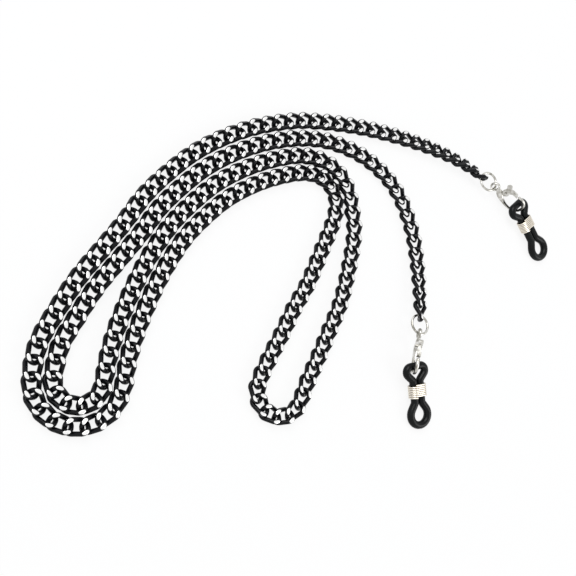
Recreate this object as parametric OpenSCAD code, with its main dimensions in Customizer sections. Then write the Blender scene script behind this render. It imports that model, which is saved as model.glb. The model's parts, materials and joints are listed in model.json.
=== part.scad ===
// Eyeglasses chain strap: a long curb chain laid out in nested loops, with a
// sprung clasp and a rubber holder for the temple arm at each end.
// Millimetres. The table is z = 0, the object is centred on the origin.

/* [Chain link] */
// Outside width of one link
link_width = 4.4; // [3.6:0.1:5.2]
// Outside length of one link
link_length = 6.4; // [5.4:0.1:6.6]
// Wire the links are bent from
wire_d = 1.2; // [0.8:0.05:1.25]
// Left-handed twist of each end of a link out of its own plane, degrees
twist = 46; // [36:1:48]
// Straight piece each side of the middle of a link's end
nose = 0.3; // [0.15:0.05:0.5]
// Distance from one link to the next along a straight run
pitch = 3.797; // [3.5:0.001:4]
// Number of links in the whole chain
links = 190; // [60:5:190]
// Gap between two strands that lie side by side
strand_room = 0.3; // [0.1:0.05:1]

/* [End ring] */
// Outside diameter of the jump ring
ring_od = 6.2; // [5:0.1:9]
// Wire of the jump ring
ring_wire = 0.7; // [0.5:0.05:0.9]

/* [Clasp] */
// Centre of the eye to the far end of the hook
clasp_reach = 11.8; // [9:0.1:14]
// Outside width of the hook
clasp_width = 5.8; // [4.8:0.1:8]
// Thickness of the clasp across its flat sides
clasp_thick = 2.0; // [1.6:0.1:3]
// Width of metal around the hook
hook_wall = 0.85; // [0.7:0.05:1.6]
// Hole in the eye for the ring
eye_hole = 1.9; // [1.3:0.05:2.6]
// Metal around the eye's hole
eye_wall = 0.6; // [0.4:0.05:1]
// Diameter of the lever's pin
pin_d = 0.8; // [0.5:0.05:1.2]

/* [Rubber holder] */
// Diameter of the rubber cord
cord_d = 2.2; // [1.6:0.05:2.6]
// Gap between the two strands inside the coil
strand_gap = 0.1; // [0.05:0.05:0.4]
// Outside width of the loop that hangs in the clasp
small_loop_width = 8.4; // [7:0.1:10]
// Outside width of the loop for the temple arm
large_loop_width = 8.0; // [6.5:0.1:12]
// Straight legs under the coil, holder at the first end
legs_a = 3.2; // [0.5:0.1:6]
// Straight legs under the coil, holder at the last end
legs_b = 0.9; // [0.5:0.1:6]

/* [Coil] */
// Wire of the coil
coil_wire = 0.5; // [0.3:0.05:0.7]
// Turns in the coil
coil_turns = 8; // [4:1:14]

/* [Fits] */
// Running clearance around the pin and beside the lever
run = 0.05; // [0.02:0.01:0.1]
// Clearance between the coil and the rubber strands
slide = 0.06; // [0.02:0.01:0.1]
// Gap left between two pieces that hang in each other
hang = 0.25; // [0.1:0.05:0.5]

/* [Hidden] */
$fn = 32;
black = [0.06, 0.06, 0.07];
silver = [0.82, 0.82, 0.84];
rubber = [0.04, 0.04, 0.04];
// links carried by each chain piece
per_piece = 5;
// round pieces meet as a slightly thinner bar pushed a little way into a thicker arc
step = 0.03;
lap = 0.08;

function unit(v) = v / norm(v);

// ---- one link: two long bars, two twisted ends, four arcs between them
half_l = (link_length - wire_d) / 2;
half_w = (link_width - wire_d) / 2;
rise = atan(half_w / half_l * tan(twist));
end_dir = [0, cos(twist), -sin(twist)];
bar_dir = [cos(rise), 0, -sin(rise)];
lead = half_w / cos(twist) - nose;
bar = half_l / cos(rise) - lead;
turn = 90 + asin(sin(rise) * sin(twist));
arc_r = lead / tan(turn / 2);
arc_start = [half_l, 0, 0] + nose * end_dir;
arc_in = unit(-bar_dir + (bar_dir * end_dir) * end_dir);
arc_up = cross(end_dir, arc_in);
arc_mid = arc_start + arc_r * arc_in;

module link() {
    for (half = [0, 180]) {
        rotate([half, 0, 0]) {
            translate([0, half_w, 0])
                rotate([0, 90 + rise, 0])
                    cylinder(h = 2 * (bar + lap), d = wire_d - 2 * step, center = true);
            rotate([0, half, 0])
                translate([half_l, 0, 0])
                    rotate([-twist - 90, 0, 0])
                        cylinder(h = 2 * (nose + lap), d = wire_d - 2 * step, center = true);
            for (side = [0, 180])
                rotate([0, side, 0])
                    multmatrix([
                        [-arc_in.x, end_dir.x, arc_up.x, arc_mid.x],
                        [-arc_in.y, end_dir.y, arc_up.y, arc_mid.y],
                        [-arc_in.z, end_dir.z, arc_up.z, arc_mid.z],
                        [0, 0, 0, 1]
                    ])
                        rotate_extrude(angle = turn)
                            translate([arc_r, 0])
                                circle(d = wire_d);
        }
    }
}

// ---- how high a link's middle lies when it is rolled about its own line
function arc_point(t) = arc_mid + arc_r * (sin(t) * end_dir - cos(t) * arc_in);
function lie(roll) = wire_d / 2 + max([
    for (k = [0 : 12])
        abs(arc_point(k * turn / 12).y * sin(roll)) + abs(arc_point(k * turn / 12).z * cos(roll))
]);

// ---- the line the chain lies along, as [x, y, roll of the chain about its own line]
// The chain makes four strands side by side. From the inside out they are inner, second, third
// and outer. Inner and second go on over the top and down to a hairpin. The other two part there
// and run to the chain's two ends. Only this guide between inner and second is drawn:
// [x, y, extra gap between inner and second, extra gap between second and third]
guide = [
    [-42.5, -31, 0, 6.6],
    [-41.5, -25, 0, 6.5],
    [-40, -19, 0, 4.8],
    [-37.5, -12, 0, 3.2],
    [-34.5, -5, 0, 1.2],
    [-31, 1.5, 0, 0],
    [-27, 7.5, 0, 0],
    [-22, 13, 0, 0],
    [-16.5, 18, 0, 0],
    [-10.5, 22, 0, 0],
    [-4, 25.3, 0, 0],
    [2.5, 27.7, 0, 0],
    [7, 28.8, 0],
    [11.5, 28.9, 0],
    [15.5, 27.6, 0],
    [18.5, 25, 0],
    [20.2, 21, 0],
    [20.5, 16.5, 1],
    [20, 12, 2.7],
    [17.5, 4, 4.7],
    [14, -5.5, 6.3],
    [10, -13, 7.2],
    [6.5, -20, 7.5],
    [3, -26.5, 7.8],
    [0.7, -31.5, 8]
];
// rows of the guide that have all four strands beside them
shared = 12;
// from the first end to the outer strand, and from the third strand to the last end
from_a = [
    [69.5, 34, 46], [65, 36, 40], [59, 38.1, 32], [53, 39.6, 24], [47, 40.7, 16],
    [40, 41.6, 8], [33, 42.2, 0], [26, 42.4, 0], [19, 42.2, 0], [12.5, 41.7, 0],
    [6.5, 40.9, 0]
];
to_b = [
    [7.5, 36.1, 0], [14.5, 36.6, 0], [21, 35.8, 0], [27, 34, 0], [32, 31.3, 0],
    [36.1, 28, 0], [39.4, 23.8, 0], [41.8, 18.9, 0], [43.5, 13.9, 0], [44.5, 8.5, 0],
    [45, 2.5, -9], [45.2, -3, -18], [45.2, -9.5, -28]
];
// keeps the whole layout centred
shift = [-16.7, -1.3, 0];
// turn between two knots of a fold
fold_step = 30;
// pieces of curve between two knots
fine = 8;
// how much the links crowd together in a tight bend
crowd = 0.45;
// where on the line the first link sits
first_at = 1.3;
// a link points along the line from this far behind its middle to this far ahead
sight = 1.2;

top = len(guide) - 1;
function along(i) = unit([
    guide[min(i + 1, top)].x - guide[max(i - 1, 0)].x,
    guide[min(i + 1, top)].y - guide[max(i - 1, 0)].y
]);
function across(i) = [-along(i).y, along(i).x];
// distance of each strand's line from the guide, towards the outside
strand_step = link_width + strand_room;
function inner_off(i) = -(strand_step + guide[i][2]) / 2;
function second_off(i) = (strand_step + guide[i][2]) / 2;
function third_off(i) = second_off(i) + strand_step + guide[i][3];
function outer_off(i) = third_off(i) + strand_step;
function beside(i, off) = [guide[i].x + off * across(i).x, guide[i].y + off * across(i).y, 0];
// knots round a half turn from the strand at off_1 to the strand at off_2, beyond row i
function fold(i, off_1, off_2, way) = [
    for (a = [fold_step : fold_step : 180 - fold_step])
        beside(i, (off_1 + off_2) / 2 + (off_1 - off_2) / 2 * cos(a))
            + way * abs(off_1 - off_2) / 2 * sin(a) * [along(i).x, along(i).y, 0]
];

route = concat(
    from_a,
    [for (i = [shared - 1 : -1 : 0]) beside(i, outer_off(i))],
    fold(0, outer_off(0), inner_off(0), -1),
    [for (i = [0 : top]) beside(i, inner_off(i))],
    fold(top, inner_off(top), second_off(top), 1),
    [for (i = [top : -1 : 0]) beside(i, second_off(i))],
    fold(0, second_off(0), third_off(0), -1),
    [for (i = [0 : shared - 1]) beside(i, third_off(i))],
    to_b
);

function curve(p, q, r, s, t) =
    0.5 * (2 * q + (r - p) * t + (2 * p - 5 * q + 4 * r - s) * t * t
        + (3 * q - p - 3 * r + s) * t * t * t);

last = len(route) - 1;
padded = concat([2 * route[0] - route[1]], route, [2 * route[last] - route[last - 1]]);
line = [
    for (i = [0 : last - 1])
        for (k = [0 : (i == last - 1 ? fine : fine - 1)])
            shift + curve(padded[i], padded[i + 1], padded[i + 2], padded[i + 3], k / fine)
];
run_at = [
    for (i = 0, s = 0; i < len(line);
        s = s + (i + 1 < len(line) ? norm([line[i + 1].x - line[i].x, line[i + 1].y - line[i].y]) : 0),
        i = i + 1)
        s
];
along_x = [for (i = [0 : len(line) - 1]) [run_at[i], line[i].x]];
along_y = [for (i = [0 : len(line) - 1]) [run_at[i], line[i].y]];
along_roll = [for (i = [0 : len(line) - 1]) [run_at[i], line[i].z]];

function heading(s) =
    atan2(lookup(s + sight, along_y) - lookup(s - sight, along_y),
          lookup(s + sight, along_x) - lookup(s - sight, along_x));
function wrap(a) = a - 360 * round(a / 360);
function spacing(s) = pitch * (1 - crowd * pow(wrap(heading(s + pitch) - heading(s)) / 90, 2));

stations = [for (i = 0, s = first_at; i < links; s = s + spacing(s), i = i + 1) s];

module chain_piece(n) {
    first = (n - 1) * per_piece;
    color(black)
        for (i = [first : min(first + per_piece, links) - 1]) {
            s = stations[i];
            translate([lookup(s, along_x), lookup(s, along_y), lie(lookup(s, along_roll))])
                rotate([lookup(s, along_roll), 0, heading(s)])
                    link();
        }
}

// ---- jump ring: a plain wire ring
ring_r = (ring_od - ring_wire) / 2;

module jump_ring() {
    color(silver)
        rotate_extrude()
            translate([ring_r, 0])
                circle(d = ring_wire);
}

// ---- clasp in its own plane: x runs from the eye to the hook's far end, z is across
eye_od = eye_hole + 2 * eye_wall;
eye_t = 1.0;
neck_w = 1.8;
hook_r = clasp_width / 2;
hook_x = clasp_reach - hook_r;
hole_r = hook_r - hook_wall;
hook_t = 1.0;
// the head is a disc with a slot for the lever between two cheeks
head_r = 1.9;
cheek = 0.4;
slot_t = clasp_thick - 2 * cheek;
slot_back = 1.2;
slot_top = 1.1;
pin_x = eye_od / 2 + 2.2;
pin_y = -0.8;
// the spring lies beside the lever's hub on the pin, its leg against the back of the slot
spring_t = 0.3;
spring_r = 0.9;
spring_hole_r = spring_r - spring_t;
lever_t = slot_t - 2 * run;
hub_t = lever_t - spring_t - run;
hub_r = slot_back - 3 * run;
tab_r = 0.8;
// the lever ends and the hook's tip begins at this distance from the pin
tip_r = 3.75;

module clasp_body() {
    color(silver) {
        difference() {
            union() {
                cylinder(h = eye_t, d = eye_od, center = true);
                translate([eye_hole / 2, -neck_w / 2, -eye_t / 2])
                    cube([pin_x - eye_hole / 2, neck_w, eye_t]);
                translate([pin_x, 0, 0])
                    cylinder(h = clasp_thick, r = head_r, center = true);
            }
            cylinder(h = 2 * clasp_thick, d = eye_hole, center = true);
            translate([pin_x - slot_back, -2 * head_r, -slot_t / 2])
                cube([2 * head_r + slot_back, 2 * head_r + slot_top, slot_t]);
            translate([pin_x, pin_y, 0])
                cylinder(h = 2 * clasp_thick, d = pin_d, center = true);
        }
        // back of the hook, from the head to the round end
        translate([pin_x + lap, hole_r, -hook_t / 2])
            cube([hook_x - pin_x, hook_wall, hook_t]);
        translate([pin_x, slot_top + lap, -hook_t / 2])
            cube([hook_wall + lap, hole_r - slot_top, hook_t]);
        difference() {
            translate([hook_x, 0, 0])
                cylinder(h = hook_t, r = hook_r, center = true);
            translate([hook_x, 0, 0])
                cylinder(h = 2 * hook_t, r = hole_r, center = true);
            translate([hook_x - 2 * hook_r, -2 * hook_r, -hook_t])
                cube([2 * hook_r, 4 * hook_r, 2 * hook_t]);
        }
        // tip of the hook, hollowed to the lever's sweep
        difference() {
            translate([pin_x + hub_r, -hook_r, -hook_t / 2])
                cube([hook_x - pin_x - hub_r + lap, hook_wall, hook_t]);
            translate([pin_x, pin_y, 0])
                cylinder(h = 2 * hook_t, r = tip_r + 2 * run, center = true);
        }
    }
}

module clasp_lever() {
    color(silver)
        difference() {
            union() {
                translate([pin_x, pin_y, -lever_t / 2])
                    cylinder(h = hub_t, r = hub_r);
                // arm from the hub down to the bar that shuts the hook
                translate([0, 0, -lever_t / 2])
                    linear_extrude(height = hub_t)
                        polygon([
                            [pin_x - 0.9 * hub_r, pin_y - 0.4], [pin_x + 0.8 * hub_r, pin_y - 0.6],
                            [pin_x + 1.5 * hub_r, -hole_r], [pin_x + 1.5 * hub_r, -hook_r],
                            [pin_x - tab_r, -hook_r]
                        ]);
                intersection() {
                    translate([pin_x + hub_r, -hook_r, -lever_t / 2])
                        cube([tip_r, hook_wall, lever_t]);
                    translate([pin_x, pin_y, 0])
                        cylinder(h = 2 * lever_t, r = tip_r, center = true);
                }
                translate([pin_x - hub_r / 2, -hook_r, -lever_t / 2])
                    cylinder(h = lever_t, r = tab_r);
            }
            translate([pin_x, pin_y, 0])
                cylinder(h = 2 * lever_t, d = pin_d + 2 * run, center = true);
            // room for the spring beside the hub
            translate([pin_x, pin_y, lever_t / 2 - spring_t - run])
                cylinder(h = lever_t, r = hub_r + 2 * run);
        }
}

module clasp_pin() {
    color(silver)
        translate([pin_x, pin_y, 0])
            cylinder(h = clasp_thick, d = pin_d, center = true);
}

module clasp_spring() {
    color(silver)
        translate([pin_x, pin_y, lever_t / 2 - spring_t])
            difference() {
                union() {
                    cylinder(h = spring_t, r = spring_r);
                    translate([run - slot_back, spring_hole_r, 0])
                        cube([slot_back - run, spring_t, spring_t]);
                }
                translate([0, 0, -spring_t])
                    cylinder(h = 3 * spring_t, r = spring_hole_r);
            }
}

// ---- rubber holder in its own plane: x runs from the small loop to the large one
coil_l = coil_turns * coil_wire;
strand_y = (cord_d + strand_gap) / 2;
// radius of the hole in each corner of the small loop, and room inside the tight bends
corner_hole = 0.35;
small_room = 0.05;
large_room = 0.4;
small_r = cord_d / 2 + corner_hole;
small_flare = 45;
small_bend = cord_d / 2 + small_room;
large_flare = 35;
large_bend = cord_d / 2 + large_room;
small_y = (small_loop_width - cord_d) / 2 - small_r;
large_r = (large_loop_width - cord_d) / 2;
// straight bit of each side of each loop between its flare and its round end
small_side = (small_y + small_r * cos(small_flare) - strand_y - small_bend * (1 - cos(small_flare)))
    / sin(small_flare);
large_side = (large_r * cos(large_flare) - strand_y - large_bend * (1 - cos(large_flare)))
    / sin(large_flare);
throat = 0.4;
small_x = coil_l / 2 + throat + small_bend * sin(small_flare) + small_side * cos(small_flare)
    + small_r * sin(small_flare);
bar_x = small_x + small_r;
large_x = coil_l / 2 + large_bend * sin(large_flare) + large_side * cos(large_flare)
    + large_r * sin(large_flare);

module bend_arc(x, y, r, a0, a1) {
    translate([x, y, 0])
        rotate([0, 0, a0])
            rotate_extrude(angle = a1 - a0)
                translate([r, 0])
                    circle(d = cord_d);
}

module strand(x0, y0, dir, l) {
    translate([x0, y0, 0])
        rotate([0, 90, dir])
            translate([0, 0, -lap])
                cylinder(h = l + 2 * lap, d = cord_d - 2 * step);
}

module rubber_loop(legs) {
    start = coil_l / 2 + throat;
    flare_x = start + small_bend * sin(small_flare);
    flare_y = strand_y + small_bend * (1 - cos(small_flare));
    wide_x = coil_l / 2 + legs + large_bend * sin(large_flare);
    wide_y = strand_y + large_bend * (1 - cos(large_flare));
    color(rubber) {
        for (side = [0, 1])
            mirror([0, side, 0]) {
                strand(-start, strand_y, 0, coil_l + throat + legs);
                bend_arc(-start, strand_y + small_bend, small_bend, 270 - small_flare, 270);
                strand(-flare_x, flare_y, 180 - small_flare, small_side);
                bend_arc(-small_x, small_y, small_r, 90 - small_flare, 180);
                bend_arc(coil_l / 2 + legs, strand_y + large_bend, large_bend, 270, 270 + large_flare);
                strand(wide_x, wide_y, large_flare, large_side);
            }
        strand(-bar_x, -small_y, 90, 2 * small_y);
        bend_arc(large_x + legs, 0, large_r, -90 - large_flare, 90 + large_flare);
    }
}

// a slot-shaped bar along x that wraps both strands
module wrap_bar(x, l, r) {
    for (y = [-strand_y, strand_y])
        translate([x, y, 0])
            rotate([0, 90, 0])
                cylinder(h = l, r = r, center = true);
    cube_h = 2 * (r - step);
    translate([x - l / 2, -strand_y, -cube_h / 2])
        cube([l, 2 * strand_y, cube_h]);
}

// the turns touch, so they are one sleeve of this share of the wire with a crest on each turn
core_share = 0.65;
crest_share = 0.6;

module coil() {
    inner = cord_d / 2 + slide;
    core = inner + core_share * coil_wire;
    color(silver)
        difference() {
            union() {
                wrap_bar(0, coil_l - coil_wire * (1 - crest_share), core);
                for (k = [0 : coil_turns - 1])
                    wrap_bar((k + 0.5) * coil_wire - coil_l / 2, crest_share * coil_wire, inner + coil_wire);
            }
            wrap_bar(0, coil_l + 1, inner);
        }
}

// ---- where the end pieces hang: each in the last one, starting from the chain's end link
ring_out = half_l - wire_d / 2 - hang - ring_wire / 2 + ring_r;
bar_in = clasp_reach - hook_wall - 2 * hang - cord_d / 2;
function dir(heading, tilt) = [cos(tilt) * cos(heading), cos(tilt) * sin(heading), -sin(tilt)];
function at(s) = [lookup(s, along_x), lookup(s, along_y), lie(lookup(s, along_roll))];

// headings, rolls and tilts of ring and clasp, and the holder's heading and straight legs
side_a = [heading(stations[0]) + 180, -29, -5.5, -32, -112, -3, -51, legs_a];
side_b = [heading(stations[links - 1]), -104, -11, -103, -68, -3, -79, legs_b];

function ring_at(s, e) = at(s) + (ring_out - ring_r) * dir(e[0], 0) + ring_r * dir(e[1], e[2]);
function eye_at(s, e) = ring_at(s, e) + ring_r * dir(e[1], e[2]);
function bar_at(s, e) = eye_at(s, e) + bar_in * dir(e[3], e[5]);
function holder_tilt(s, e) =
    asin((bar_at(s, e).z - cord_d / 2) / (bar_x + large_x + e[7] + large_r));
function holder_at(s, e) = bar_at(s, e) + bar_x * dir(e[6], holder_tilt(s, e));

module hang_ring(s, e) {
    translate(ring_at(s, e))
        rotate([0, e[2], e[1]])
            jump_ring();
}
module hang_clasp(s, e) {
    translate(eye_at(s, e))
        rotate([e[4], e[5], e[3]])
            children();
}
module hang_holder(s, e) {
    translate(holder_at(s, e))
        rotate([0, holder_tilt(s, e), e[6]])
            children();
}

first_link = stations[0];
last_link = stations[links - 1];

module jump_ring_a() { hang_ring(first_link, side_a); }
module clasp_body_a() { hang_clasp(first_link, side_a) clasp_body(); }
module clasp_lever_a() { hang_clasp(first_link, side_a) clasp_lever(); }
module clasp_pin_a() { hang_clasp(first_link, side_a) clasp_pin(); }
module clasp_spring_a() { hang_clasp(first_link, side_a) clasp_spring(); }
module rubber_loop_a() { hang_holder(first_link, side_a) rubber_loop(legs_a); }
module coil_a() { hang_holder(first_link, side_a) coil(); }
module jump_ring_b() { hang_ring(last_link, side_b); }
module clasp_body_b() { hang_clasp(last_link, side_b) clasp_body(); }
module clasp_lever_b() { hang_clasp(last_link, side_b) clasp_lever(); }
module clasp_pin_b() { hang_clasp(last_link, side_b) clasp_pin(); }
module clasp_spring_b() { hang_clasp(last_link, side_b) clasp_spring(); }
module rubber_loop_b() { hang_holder(last_link, side_b) rubber_loop(legs_b); }
module coil_b() { hang_holder(last_link, side_b) coil(); }

chain_piece(1);  // chain_01
chain_piece(2);  // chain_02
chain_piece(3);  // chain_03
chain_piece(4);  // chain_04
chain_piece(5);  // chain_05
chain_piece(6);  // chain_06
chain_piece(7);  // chain_07
chain_piece(8);  // chain_08
chain_piece(9);  // chain_09
chain_piece(10);  // chain_10
chain_piece(11);  // chain_11
chain_piece(12);  // chain_12
chain_piece(13);  // chain_13
chain_piece(14);  // chain_14
chain_piece(15);  // chain_15
chain_piece(16);  // chain_16
chain_piece(17);  // chain_17
chain_piece(18);  // chain_18
chain_piece(19);  // chain_19
chain_piece(20);  // chain_20
chain_piece(21);  // chain_21
chain_piece(22);  // chain_22
chain_piece(23);  // chain_23
chain_piece(24);  // chain_24
chain_piece(25);  // chain_25
chain_piece(26);  // chain_26
chain_piece(27);  // chain_27
chain_piece(28);  // chain_28
chain_piece(29);  // chain_29
chain_piece(30);  // chain_30
chain_piece(31);  // chain_31
chain_piece(32);  // chain_32
chain_piece(33);  // chain_33
chain_piece(34);  // chain_34
chain_piece(35);  // chain_35
chain_piece(36);  // chain_36
chain_piece(37);  // chain_37
chain_piece(38);  // chain_38
jump_ring_a();
clasp_body_a();
clasp_lever_a();
clasp_pin_a();
clasp_spring_a();
rubber_loop_a();
coil_a();
jump_ring_b();
clasp_body_b();
clasp_lever_b();
clasp_pin_b();
clasp_spring_b();
rubber_loop_b();
coil_b();
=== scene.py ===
"""Eyeglasses chain strap: curb chain, jump rings, sprung clasps and rubber temple holders.

Metres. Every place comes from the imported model: a node's box or mesh, or a joint's pin and axis.
"""

import json
import math

import bpy
import numpy as np
from mathutils import Matrix, Vector


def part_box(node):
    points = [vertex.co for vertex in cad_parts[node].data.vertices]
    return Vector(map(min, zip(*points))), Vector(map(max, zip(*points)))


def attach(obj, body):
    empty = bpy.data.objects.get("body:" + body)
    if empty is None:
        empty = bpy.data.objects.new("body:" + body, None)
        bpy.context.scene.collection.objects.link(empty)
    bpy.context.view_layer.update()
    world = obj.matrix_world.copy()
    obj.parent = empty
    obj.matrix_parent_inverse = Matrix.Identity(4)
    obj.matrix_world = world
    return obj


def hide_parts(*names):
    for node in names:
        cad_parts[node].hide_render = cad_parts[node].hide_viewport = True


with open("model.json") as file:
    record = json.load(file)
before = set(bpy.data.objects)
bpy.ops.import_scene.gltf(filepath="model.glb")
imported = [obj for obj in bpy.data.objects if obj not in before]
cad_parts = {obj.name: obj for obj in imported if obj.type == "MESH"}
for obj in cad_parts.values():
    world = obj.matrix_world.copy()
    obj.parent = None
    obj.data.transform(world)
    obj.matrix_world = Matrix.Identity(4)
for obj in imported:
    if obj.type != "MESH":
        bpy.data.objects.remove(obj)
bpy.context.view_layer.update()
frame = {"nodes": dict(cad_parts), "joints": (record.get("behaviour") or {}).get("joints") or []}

# ---- Camera
# A hand-held view from the near left, about 60 degrees above the table, with the chain's long
# way across the picture. The lens is a normal one on a full-frame sensor.
lens_mm = 51.34
sensor_mm = 36.0
nearest_seen = 0.01
camera_place = Vector((-0.1141, -0.0381, 0.1866))
view_right = Vector((0.8790, 0.0, 0.4769)).normalized()
view_back = Vector((-0.4715, -0.1494, 0.8691)).normalized()


def frame_of(origin, along, across, up):
    """The matrix that puts a piece drawn on its own x, y and z ways at origin."""
    return Matrix.Translation(origin) @ Matrix((along, across, up)).transposed().to_4x4()


camera_data = bpy.data.cameras.new("camera")
camera_data.sensor_width = sensor_mm
camera_data.lens = lens_mm
camera_data.clip_start = nearest_seen
camera = bpy.data.objects.new("camera", camera_data)
bpy.context.scene.collection.objects.link(camera)
view_up = view_back.cross(view_right).normalized()
view_right = view_up.cross(view_back)
camera.matrix_world = frame_of(camera_place, view_right, view_up, view_back)
bpy.context.scene.camera = camera
bpy.context.scene.view_settings.view_transform = "Standard"

# ---- Studio: sky, table and two soft lamps
# A white table under a white tent. Reflections and the camera see the tent as plain white, and
# the light that reaches the chain stays at a level where its colours come out as they are.
sky_colour = (0.95, 0.97, 1.0, 1.0)
sky_strength = 0.55
plain_white = (1.0, 1.0, 1.0, 1.0)
table_colour = (0.9, 0.9, 0.9, 1.0)
table_half = 2.0
table_glow = 0.88  # the rest of what is seen of the table is its own paint, with the shadows
soft_lamps = (
    # name, place, width across, watts
    ("big softbox", (-0.35, 0.45, 0.75), 0.7, 5.0),
    ("side softbox", (0.6, -0.35, 0.5), 0.5, 2.2),
)


def node(tree, kind, **values):
    """A new shader node, with its named inputs set to plain values."""
    made = tree.nodes.new("ShaderNode" + kind)
    for name, value in values.items():
        made.inputs[name.replace("_", " ")].default_value = value
    return made


def seen_or_mirrored(tree):
    """A socket that is 1 for what the camera, glass or a shiny surface sees, and 0 for light."""
    path = node(tree, "LightPath")
    seen = path.outputs["Is Camera Ray"]
    for ray in ("Is Transmission Ray", "Is Glossy Ray"):
        either = node(tree, "Math")
        either.operation = "MAXIMUM"
        tree.links.new(seen, either.inputs[0])
        tree.links.new(path.outputs[ray], either.inputs[1])
        seen = either.outputs[0]
    return seen


def mix_shaders(tree, share, first, second, end):
    """Send first and second, mixed by the socket share, to the end socket."""
    mixed = node(tree, "MixShader")
    tree.links.new(share, mixed.inputs["Fac"])
    tree.links.new(first.outputs[0], mixed.inputs[1])
    tree.links.new(second.outputs[0], mixed.inputs[2])
    tree.links.new(mixed.outputs[0], end)


world = bpy.data.worlds.new("tent")
bpy.context.scene.world = world
world.use_nodes = True
tree = world.node_tree
tree.nodes.clear()
mix_shaders(
    tree,
    seen_or_mirrored(tree),
    node(tree, "Background", Color=sky_colour, Strength=sky_strength),
    node(tree, "Background", Color=plain_white, Strength=1.0),
    node(tree, "OutputWorld").inputs["Surface"],
)

table_mesh = bpy.data.meshes.new("table")
table_mesh.from_pydata(
    [(x * table_half, y * table_half, 0.0) for x, y in ((-1, -1), (1, -1), (1, 1), (-1, 1))],
    [],
    [(0, 1, 2, 3)],
)
table = bpy.data.objects.new("table", table_mesh)
bpy.context.scene.collection.objects.link(table)
table_paint = bpy.data.materials.new("white table")
table_paint.use_nodes = True
tree = table_paint.node_tree
tree.nodes.clear()
glow_share = node(tree, "Math")
glow_share.operation = "MULTIPLY"
glow_share.inputs[1].default_value = table_glow
tree.links.new(seen_or_mirrored(tree), glow_share.inputs[0])
mix_shaders(
    tree,
    glow_share.outputs[0],
    node(tree, "BsdfDiffuse", Color=table_colour),
    node(tree, "Emission", Color=plain_white, Strength=1.0),
    node(tree, "OutputMaterial").inputs["Surface"],
)
table_mesh.materials.append(table_paint)

for name, place, width, watts in soft_lamps:
    lamp_data = bpy.data.lights.new(name, "AREA")
    lamp_data.shape = "DISK"
    lamp_data.size = width
    lamp_data.energy = watts
    lamp = bpy.data.objects.new(name, lamp_data)
    lamp.location = place
    lamp.rotation_euler = (-Vector(place)).to_track_quat("-Z", "Y").to_euler()
    bpy.context.scene.collection.objects.link(lamp)

# ---- Chain links
# 190 links of round wire, each bent to a long loop, twisted left-handed at both ends so that the
# chain lies flat, and closed with a butt joint. They are threaded one through the next, dipped in
# glossy black enamel, and the two high corners on each face are ground flat and left bright.
link_length = 0.0064
link_width = 0.0044
link_wire = 0.0012
link_twist = math.radians(46)
link_nose = 0.0003  # straight stretch each side of the middle of an end
ground_depth = 0.00017
stations = 88  # rings of vertices along one link
corner_steps = 12
wire_sides = 18

enamel_dark = (0.0015, 0.0018, 0.0024, 1.0)
enamel_light = (0.007, 0.0075, 0.010, 1.0)
enamel_gloss = (0.16, 0.34)
enamel_grain = 900.0
orange_peel_grain = 2600.0
ground_dark = (0.78, 0.78, 0.78, 1.0)
ground_light = (0.93, 0.93, 0.92, 1.0)
ground_gloss = (0.2, 0.36)
wheel_lines = 2400.0
ground_edge = (-0.01, 0.015)  # mm below and above the ground face over which the enamel ends


def finish_nodes(name):
    """A new material with its tree, its shader and the piece's own coordinates."""
    finish = bpy.data.materials.new(name)
    finish.use_nodes = True
    tree = finish.node_tree
    return finish, tree, tree.nodes["Principled BSDF"], node(tree, "TexCoord").outputs["Object"]


def grain(tree, where, scale, detail):
    """Fine uneven grain fixed to the piece."""
    specks = node(tree, "TexNoise", Scale=scale, Detail=detail)
    tree.links.new(where, specks.inputs["Vector"])
    return specks.outputs["Fac"]


def tint_by(tree, amount, shader, *stops):
    """Colour the shader by amount, from (position, colour) stops in rising order."""
    ramp = node(tree, "ValToRGB")
    elements = ramp.color_ramp.elements
    for end, (position, colour) in zip(elements, (stops[0], stops[-1])):
        end.position = position
        end.color = colour
    for position, colour in stops[1:-1]:
        elements.new(position).color = colour
    tree.links.new(amount, ramp.inputs["Fac"])
    tree.links.new(ramp.outputs["Color"], shader.inputs["Base Color"])


def gloss_by(tree, amount, shader, gloss):
    """Vary the shader's roughness by amount, between the two values of gloss."""
    spread = node(tree, "MapRange", To_Min=gloss[0], To_Max=gloss[1])
    tree.links.new(amount, spread.inputs["Value"])
    tree.links.new(spread.outputs["Result"], shader.inputs["Roughness"])


def dents_by(tree, height, shader, strength, depth):
    """Small dents in the surface, depth metres deep."""
    dents = node(tree, "Bump", Strength=strength, Distance=depth)
    tree.links.new(height, dents.inputs["Height"])
    tree.links.new(dents.outputs["Normal"], shader.inputs["Normal"])


black_enamel, tree, coat, where = finish_nodes("black enamel")
coat.inputs["Metallic"].default_value = 0.0
coat.inputs["Specular IOR Level"].default_value = 0.16
spots = grain(tree, where, enamel_grain, 5.0)
tint_by(tree, spots, coat, (0.35, enamel_dark), (0.75, enamel_light))
gloss_by(tree, spots, coat, enamel_gloss)
dents_by(tree, grain(tree, where, orange_peel_grain, 2.0), coat, 0.12, 0.00004)
# the bare ground corners, with the fine lines of the wheel
bare = node(tree, "BsdfPrincipled", Metallic=1.0)
wheel = node(tree, "TexWave", Scale=wheel_lines, Distortion=3.0)
tree.links.new(where, wheel.inputs["Vector"])
gloss_by(tree, wheel.outputs["Fac"], bare, ground_gloss)
tint_by(tree, spots, bare, (0.0, ground_dark), (1.0, ground_light))
above_face = node(tree, "Attribute")
above_face.attribute_name = "ground"
edge = node(tree, "MapRange", From_Min=ground_edge[0], From_Max=ground_edge[1])
tree.links.new(above_face.outputs["Fac"], edge.inputs["Value"])
surface = tree.nodes["Material Output"].inputs["Surface"]
mix_shaders(tree, edge.outputs["Result"], coat, bare, surface)


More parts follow.
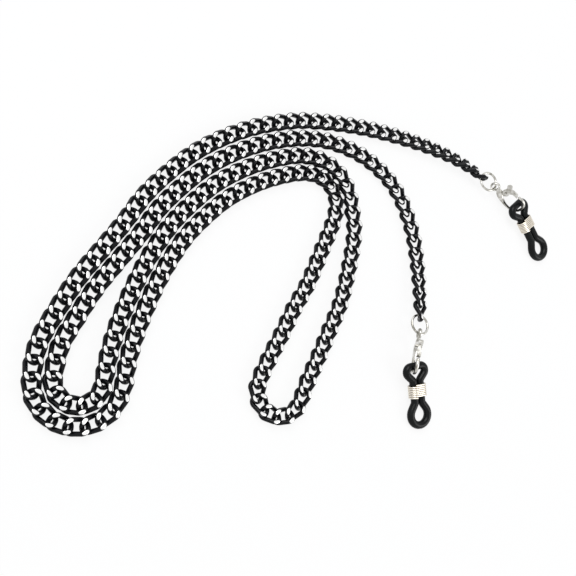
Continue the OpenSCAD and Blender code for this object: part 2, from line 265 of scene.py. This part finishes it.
def link_centreline():
    """The wire's middle line: two long bars, two twisted ends and an even arc at each corner."""
    long, wide = (link_length - link_wire) / 2, (link_width - link_wire) / 2
    rise = math.atan(wide / long * math.tan(link_twist))
    bar = Vector((math.cos(rise), 0, -math.sin(rise)))
    end = Vector((0, math.cos(link_twist), -math.sin(link_twist)))
    lead = wide / math.cos(link_twist) - link_nose
    turn = math.pi / 2 + math.asin(math.sin(rise) * math.sin(link_twist))
    radius = lead / math.tan(turn / 2)
    inward = (-bar + bar.dot(end) * end).normalized()
    start = Vector((long, 0, 0)) + link_nose * end
    middle = start + radius * inward
    corner = [Vector((long, 0, 0))]
    for k in range(corner_steps + 1):
        a = turn * k / corner_steps
        corner.append(middle + radius * (math.sin(a) * end - math.cos(a) * inward))
    corner.append(Vector((0, wide, 0)))
    loop = list(corner)
    loop += [Vector((-p.x, p.y, -p.z)) for p in reversed(corner[:-1])]
    loop += [Vector((-p.x, -p.y, p.z)) for p in corner[1:]]
    loop += [Vector((p.x, -p.y, -p.z)) for p in reversed(corner[1:-1])]
    loop = np.array(loop)
    ahead = np.roll(loop, -1, axis=0)
    run = np.concatenate([[0], np.cumsum(np.linalg.norm(ahead - loop, axis=1))])
    loop = np.vstack([loop, loop[:1]])
    even = np.linspace(0, run[-1], stations, endpoint=False)
    return np.stack([np.interp(even, run, loop[:, k]) for k in range(3)], axis=1)


def tube_faces(count, sides, closed, shift=0):
    """The side faces of a tube of count rings; shift turns the ring that closes it."""
    faces = []
    for i in range(count if closed else count - 1):
        j = (i + 1) % count
        extra = shift if j == 0 else 0
        for k in range(sides):
            faces.append((
                i * sides + k,
                i * sides + (k + 1) % sides,
                j * sides + (k + 1 + extra) % sides,
                j * sides + (k + extra) % sides,
            ))
    return faces


def link_mesh():
    """One link as vertices, faces and how far each vertex stood above the ground face, in mm."""
    middle = link_centreline()
    along = np.roll(middle, -1, axis=0) - np.roll(middle, 1, axis=0)
    along /= np.linalg.norm(along, axis=1)[:, None]
    side = np.cross(along[0], (0.0, 0.0, 1.0))
    vertices = np.zeros((stations, wire_sides, 3))
    around = 2 * np.pi * np.arange(wire_sides) / wire_sides
    for i in range(stations):
        side = side - along[i] * side.dot(along[i])
        side /= np.linalg.norm(side)
        deep = np.cross(along[i], side)
        vertices[i] = middle[i] + link_wire / 2 * (
            np.cos(around)[:, None] * side + np.sin(around)[:, None] * deep
        )
    # the last ring meets the first where its points lie closest
    shift = int(np.argmin(np.linalg.norm(vertices[0] - vertices[-1][0], axis=1)))
    vertices = vertices.reshape(-1, 3)
    level = np.abs(vertices[:, 2]).max() - ground_depth
    above = (np.abs(vertices[:, 2]) - level) * 1000
    vertices[:, 2] = np.clip(vertices[:, 2], -level, level)
    return vertices, np.array(tube_faces(stations, wire_sides, True, shift)), above


def loose_solids(mesh):
    """The vertices of each separate solid in a mesh, joined where their places agree."""
    places = np.zeros(len(mesh.vertices) * 3)
    mesh.vertices.foreach_get("co", places)
    places = places.reshape(-1, 3)
    tenth_microns = np.round(places * 1e7).astype(np.int64)
    same = np.unique(tenth_microns, axis=0, return_inverse=True)[1].reshape(-1)
    mesh.calc_loop_triangles()
    corners = np.zeros(len(mesh.loop_triangles) * 3, dtype=np.int64)
    mesh.loop_triangles.foreach_get("vertices", corners)
    corners = same[corners].reshape(-1, 3)
    # every point takes the lowest number in its own solid
    label = np.arange(same.max() + 1)
    while True:
        low = label[corners].min(axis=1)
        lower = label.copy()
        for k in range(3):
            np.minimum.at(lower, corners[:, k], low)
        lower = lower[lower]
        if (lower == label).all():
            break
        label = lower
    label = label[same]
    return [places[label == number] for number in np.unique(label)]


def own_ways(points):
    """A solid's long, wide and thin ways as a right-handed set of rows, and its middle."""
    box_middle = (points.max(axis=0) + points.min(axis=0)) / 2
    spread = points - box_middle
    ways = np.linalg.svd(spread - spread.mean(axis=0), full_matrices=False)[2]
    turned = spread @ ways.T
    middle = box_middle + (turned.max(axis=0) + turned.min(axis=0)) / 2 @ ways
    if np.linalg.det(ways) < 0:
        ways[2] = -ways[2]
    return ways, middle


link_points, link_faces, link_above = link_mesh()
for name in sorted(n for n in frame["nodes"] if n.startswith("chain_")):
    solids = loose_solids(frame["nodes"][name].data)
    points = []
    for solid in solids:
        ways, middle = own_ways(solid)
        points.append(link_points @ ways + middle)
    faces = [link_faces + k * len(link_points) for k in range(len(solids))]
    mesh = bpy.data.meshes.new("links_" + name[-2:])
    mesh.from_pydata(np.concatenate(points).tolist(), [], np.concatenate(faces).tolist())
    ground = mesh.attributes.new("ground", "FLOAT", "POINT")
    ground.data.foreach_set("value", np.tile(link_above, len(solids)))
    mesh.polygons.foreach_set("use_smooth", [True] * len(mesh.polygons))
    mesh.update()
    mesh.materials.append(black_enamel)
    links = bpy.data.objects.new("links_" + name[-2:], mesh)
    bpy.context.scene.collection.objects.link(links)
    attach(links, name)
    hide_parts(name)

# ---- Jump rings
# A thin ring of bright plated wire at each end of the chain, through the last link and the eye
# of the clasp. It is bent open to thread it and pressed shut, so a fine cut shows.
ring_radius = 0.00275
ring_half_wire = 0.00034
ring_cut = math.radians(3)  # half of the cut, as an angle
ring_cut_place = math.radians(35)
ring_cut_step = 0.00006  # the two cut faces miss each other by this much
ring_steps = 72

# The plate's tint is patchy: its dark patches are partly tarnish and partly painted reflection of
# dark surroundings in the polished metal.
plate_tarnish_and_dark_reflection = (0.21, 0.20, 0.16, 1.0)
plate_bright = (0.82, 0.81, 0.78, 1.0)
plate_gloss = (0.12, 0.3)
plate_grain = 700.0

bright_plate, tree, metal, where = finish_nodes("bright plate")
metal.inputs["Metallic"].default_value = 1.0
patch_noise = grain(tree, where, plate_grain, 6.0)
# patchy tint: tarnish mixed with painted dark reflection
tint_by(tree, patch_noise, metal, (0.3, plate_tarnish_and_dark_reflection), (0.7, plate_bright))
gloss_by(tree, patch_noise, metal, plate_gloss)
dents_by(tree, patch_noise, metal, 0.15, 0.00003)


def swept_wire(name, path, sizes, up=None, closed=False, sides=16, place=Matrix(), finish=None):
    """A bar swept along path. sizes gives its half width and half depth at each point, up the
    direction of its depth (or None for round wire that may twist freely)."""
    path = [Vector(point) for point in path]
    count = len(path)
    sizes = [sizes] * count if isinstance(sizes[0], float) else sizes
    rings = []
    side = None
    for i, point in enumerate(path):
        ahead = path[(i + 1) % count] if closed or i < count - 1 else point
        behind = path[i - 1] if closed or i > 0 else point
        along = (ahead - behind).normalized()
        if up is not None:
            side = up.cross(along).normalized()
        elif side is None:
            side = along.orthogonal().normalized()
        else:
            side = (side - along * side.dot(along)).normalized()
        rings.append((point, along, side, along.cross(side), sizes[i]))
    if not closed:
        # each end is rounded by three rings that close in
        first, last = rings[0], rings[-1]
        for k in (1, 2, 3):
            turn = k * math.pi / 7
            for end, way in ((first, -1), (last, 1)):
                point, along, side, deep, (wide, thick) = end
                tip = point + way * along * min(wide, thick) * math.sin(turn)
                size = (wide * math.cos(turn), thick * math.cos(turn))
                ring = (tip, along, side, deep, size)
                rings = [ring] + rings if way < 0 else rings + [ring]
    vertices = []
    for point, along, side, deep, (wide, thick) in rings:
        for k in range(sides):
            turn = 2 * math.pi * k / sides
            vertices.append(point + side * wide * math.cos(turn) + deep * thick * math.sin(turn))
    shift = 0
    if closed and up is None:
        # join the last ring to the first where they match best
        gaps = [(vertices[-sides] - vertices[k]).length for k in range(sides)]
        shift = gaps.index(min(gaps))
    faces = tube_faces(len(rings), sides, closed, shift)
    if not closed:
        faces.append(tuple(reversed(range(sides))))
        faces.append(tuple((len(rings) - 1) * sides + k for k in range(sides)))
    mesh = bpy.data.meshes.new(name)
    mesh.from_pydata([place @ vertex for vertex in vertices], [], faces)
    mesh.polygons.foreach_set("use_smooth", [True] * len(faces))
    mesh.update()
    piece = bpy.data.objects.new(name, mesh)
    bpy.context.scene.collection.objects.link(piece)
    if finish is not None:
        mesh.materials.append(finish)
    return piece


for end in ("a", "b"):
    packed = frame["nodes"]["jump_ring_" + end]
    corners = np.array([vertex.co for vertex in packed.data.vertices])
    middle = (corners.min(axis=0) + corners.max(axis=0)) / 2
    flat = np.linalg.svd(corners - corners.mean(axis=0), full_matrices=False)[2]
    along, across = Vector(flat[0]), Vector(flat[1])
    place = frame_of(Vector(middle), along, across, along.cross(across))
    ring_path = []
    for k in range(ring_steps + 1):
        turn = ring_cut + (2 * math.pi - 2 * ring_cut) * k / ring_steps + ring_cut_place
        step = ring_cut_step * (k / ring_steps - 0.5)
        ring_path.append((ring_radius * math.cos(turn), ring_radius * math.sin(turn), step))
    ring = swept_wire(
        "ring_" + end,
        ring_path,
        (ring_half_wire, ring_half_wire),
        place=place,
        finish=bright_plate,
    )
    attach(ring, "ring_" + end)
    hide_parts("jump_ring_" + end)

# ---- Clasps
# A small die-cast claw clasp: an eye for the jump ring, a slotted head that holds the lever on a
# riveted pin, and a hook that the lever shuts. Polished and plated like the rings. The lever, the
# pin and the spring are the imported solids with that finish.
eye_radius = 0.00125
eye_half_size = (0.0003, 0.00048)
hook_radius = 0.00248
hook_middle = 0.0089  # from the eye's middle to the middle of the hook's bend
hook_half_size = (0.00042, 0.00049)
hook_tip = (0.0079, -0.00247, 0)
hook_tip_half_size = (0.0004, 0.00047)
# the neck and the back: a point of the middle line, with its half width and half depth
hook_back = (
    ((0.0013, 0, 0), (0.0007, 0.00048)),
    ((0.0018, 0.0002, 0), (0.0008, 0.0005)),
    ((0.0026, 0.0007, 0), (0.0010, 0.00062)),
    ((0.0036, 0.0013, 0), (0.00095, 0.00068)),
    ((0.0048, 0.0018, 0), (0.0007, 0.00062)),
    ((0.0060, 0.00217, 0), (0.00052, 0.00055)),
    ((0.0072, 0.00238, 0), (0.00044, 0.0005)),
    ((0.0082, 0.00246, 0), (0.00042, 0.00049)),
)

joints = {joint["name"]: joint for joint in frame["joints"]}
own_up = Vector((0, 0, 1))


def arc(x, y, radius, degrees):
    """Points on a circle round (x, y), at each of the given degrees."""
    turns = [math.radians(a) for a in degrees]
    return [(x + radius * math.cos(turn), y + radius * math.sin(turn)) for turn in turns]


for end in ("a", "b"):
    swing = joints["clasp_swing_" + end]
    hang = joints["holder_swing_" + end]
    eye = Vector(swing["pos_m"])
    across = Vector(swing["axis"]).normalized()
    onward = (Vector(hang["pos_m"]) - eye).normalized()
    place = frame_of(eye, onward, across.cross(onward).normalized(), across)

    clasp_eye = swept_wire(
        "clasp_eye_" + end,
        [(x, y, 0) for x, y in arc(0, 0, eye_radius, range(0, 360, 10))],
        eye_half_size,
        up=own_up,
        closed=True,
        place=place,
        finish=bright_plate,
    )

    bend = [(x, y, 0) for x, y in arc(hook_middle, 0, hook_radius, range(80, -105, -8))]
    hook_path = [point for point, size in hook_back] + bend + [hook_tip]
    hook_sizes = [size for point, size in hook_back] + [hook_half_size] * len(bend)
    clasp_hook = swept_wire(
        "clasp_hook_" + end,
        hook_path,
        hook_sizes + [hook_tip_half_size],
        up=own_up,
        sides=20,
        place=place,
        finish=bright_plate,
    )
    for piece in (clasp_eye, clasp_hook):
        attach(piece, "clasp_" + end)
    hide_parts("clasp_body_" + end)

for name, packed in frame["nodes"].items():
    if name.startswith(("clasp_", "coil_", "jump_ring_")):
        packed.data.materials.clear()
        packed.data.materials.append(bright_plate)

# ---- Rubber temple holders
# One closed loop of black rubber cord at each end, pinched together by the coil. The small loop
# hangs in the clasp and the long one grips the arm of the glasses.
cord_half = 0.0011
strand = 0.00115  # from the holder's middle to the middle of each strand inside the coil
strand_points = (-0.0012, 0.0, 0.0012)
small_half_width = 0.0042
small_start = 0.0024  # from the coil's middle to where the strands part
small_turn = 0.00145
small_bend = 0.00115
small_flare = math.radians(45)
large_start = 0.002
large_turn = 0.0029
large_bend = 0.0015
large_flare = math.radians(35)
straight_legs = (("a", 0.0032), ("b", 0.0009))  # the strands' straight run below the coil

rubber_dark = (0.0012, 0.0016, 0.0018, 1.0)
rubber_light = (0.006, 0.0085, 0.0085, 1.0)
rubber_gloss = (0.2, 0.42)
rubber_grain = 450.0
pore_grain = 3500.0

black_rubber, tree, skin, where = finish_nodes("black rubber")
skin.inputs["Specular IOR Level"].default_value = 0.12
skin.inputs["Coat Weight"].default_value = 0.08
skin.inputs["Coat Roughness"].default_value = 0.12
bloom = grain(tree, where, rubber_grain, 6.0)
tint_by(tree, bloom, skin, (0.4, rubber_dark), (0.8, rubber_light))
gloss_by(tree, bloom, skin, rubber_gloss)
dents_by(tree, grain(tree, where, pore_grain, 3.0), skin, 0.2, 0.00004)


def loop_reach(start, turn, bend, flare, middle_y):
    """How far along the holder the middle of a loop's round end lies, when a bend, a straight
    flare and the round end follow each other without a corner."""
    slant = middle_y + turn * math.cos(flare) - strand - bend * (1 - math.cos(flare))
    slant /= math.sin(flare)
    return (
        start + bend * math.sin(flare) + slant * math.cos(flare) + turn * math.sin(flare)
    )


def half_loop(legs):
    """One side of the rubber, from the top of the small loop round to the foot of the long one."""
    small_y = small_half_width - cord_half - small_turn
    small_x = loop_reach(small_start, small_turn, small_bend, small_flare, small_y)
    large_x = loop_reach(large_start, large_turn, large_bend, large_flare, 0.0)
    return (
        arc(-small_x, small_y, small_turn, range(180, 44, -15))
        + arc(-small_start, strand + small_bend, small_bend, range(225, 271, 15))
        + [(x, strand) for x in strand_points]
        + arc(large_start + legs, strand + large_bend, large_bend, (270, 282, 294, 305))
        + arc(large_x + legs, 0.0, large_turn, range(125, -1, -12))
    )


holder_places = {}
for end, legs in straight_legs:
    low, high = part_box("coil_" + end)
    slide = Vector(joints["coil_slide_" + end]["axis"]).normalized()
    wide = Vector(joints["holder_swing_" + end]["axis"]).normalized()
    middle = (Vector(low) + Vector(high)) / 2
    place = frame_of(middle, slide, wide, slide.cross(wide).normalized())
    holder_places[end] = place
    side_path = half_loop(legs)
    loop_path = side_path + [(x, -y) for x, y in reversed(side_path[:-1])]
    rubber = swept_wire(
        "rubber_loop_" + end,
        [(x, y, 0) for x, y in loop_path],
        (cord_half, cord_half),
        up=own_up,
        closed=True,
        sides=24,
        place=place,
        finish=black_rubber,
    )
    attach(rubber, "holder_" + end)
    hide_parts("rubber_loop_" + end)

# ---- Coils on the holders
# Seven close turns of bright wire wound flat round both rubber strands. The coil slides down the
# strands by hand to tighten the loop on the arm of the glasses.
coil_turns = 7
coil_wire = 0.0005
coil_half_wire = 0.000245
coil_reach = 0.00141  # from a strand's middle to the middle of the wire
steps_per_turn = 40

# The groove and flank colours are painted shade, darkest down between the turns; the crest colour
# is the wire's own.
coil_groove_painted_shade = (0.07, 0.05, 0.035, 1.0)
coil_flank_painted_half_shade = (0.50, 0.43, 0.34, 1.0)
coil_crest = (0.80, 0.75, 0.66, 1.0)
coil_gloss = (0.18, 0.34)
coil_grain = 600.0

# bright on the outside of each turn and dark brown down between the turns: painted shade in the
# hollows between the turns and against the rubber
coil_plate, tree, metal, where = finish_nodes("coil wire")
metal.inputs["Metallic"].default_value = 1.0
patch_noise = grain(tree, where, coil_grain, 5.0)
crest = node(tree, "Attribute")
crest.attribute_name = "crest"
depth_shade_and_mottle = node(tree, "Math")
depth_shade_and_mottle.operation = "MULTIPLY_ADD"
depth_shade_and_mottle.inputs[1].default_value = 0.3
tree.links.new(patch_noise, depth_shade_and_mottle.inputs[0])
tree.links.new(crest.outputs["Fac"], depth_shade_and_mottle.inputs[2])
# painted shade by depth between the turns, with a little random mottle
tint_by(tree, depth_shade_and_mottle.outputs[0], metal, (0.72, coil_groove_painted_shade), (0.88, coil_flank_painted_half_shade), (1.0, coil_crest))
gloss_by(tree, patch_noise, metal, coil_gloss)


def coil_point(turns):
    """The wire's middle after so many turns: flat over the strands, round at the two sides."""
    side_arc = math.pi * coil_reach
    run = turns % 1.0 * (4 * strand + 2 * side_arc)
    x = (turns - coil_turns / 2) * coil_wire
    if run < 2 * strand:
        return x, -strand + run, coil_reach
    if run < 2 * strand + side_arc:
        a = (run - 2 * strand) / coil_reach
        return x, strand + coil_reach * math.sin(a), coil_reach * math.cos(a)
    if run < 4 * strand + side_arc:
        return x, strand - (run - 2 * strand - side_arc), -coil_reach
    a = (run - 4 * strand - side_arc) / coil_reach
    return x, -strand - coil_reach * math.sin(a), -coil_reach * math.cos(a)


for end, place in holder_places.items():
    coil = swept_wire(
        "coil_" + end,
        [coil_point(k / steps_per_turn) for k in range(coil_turns * steps_per_turn + 1)],
        (coil_half_wire, coil_half_wire),
        sides=12,
        place=place,
        finish=coil_plate,
    )
    # 0 at the rubber and 1 on the outside of the wire
    heights = []
    for vertex in coil.data.vertices:
        x, y, z = place.inverted() @ vertex.co
        out = math.hypot(max(abs(y) - strand, 0.0), z) - (coil_reach - coil_half_wire)
        heights.append(out / (2 * coil_half_wire))
    coil.data.attributes.new("crest", "FLOAT", "POINT").data.foreach_set("value", heights)
    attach(coil, "coil_" + end)
    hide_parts("coil_" + end)
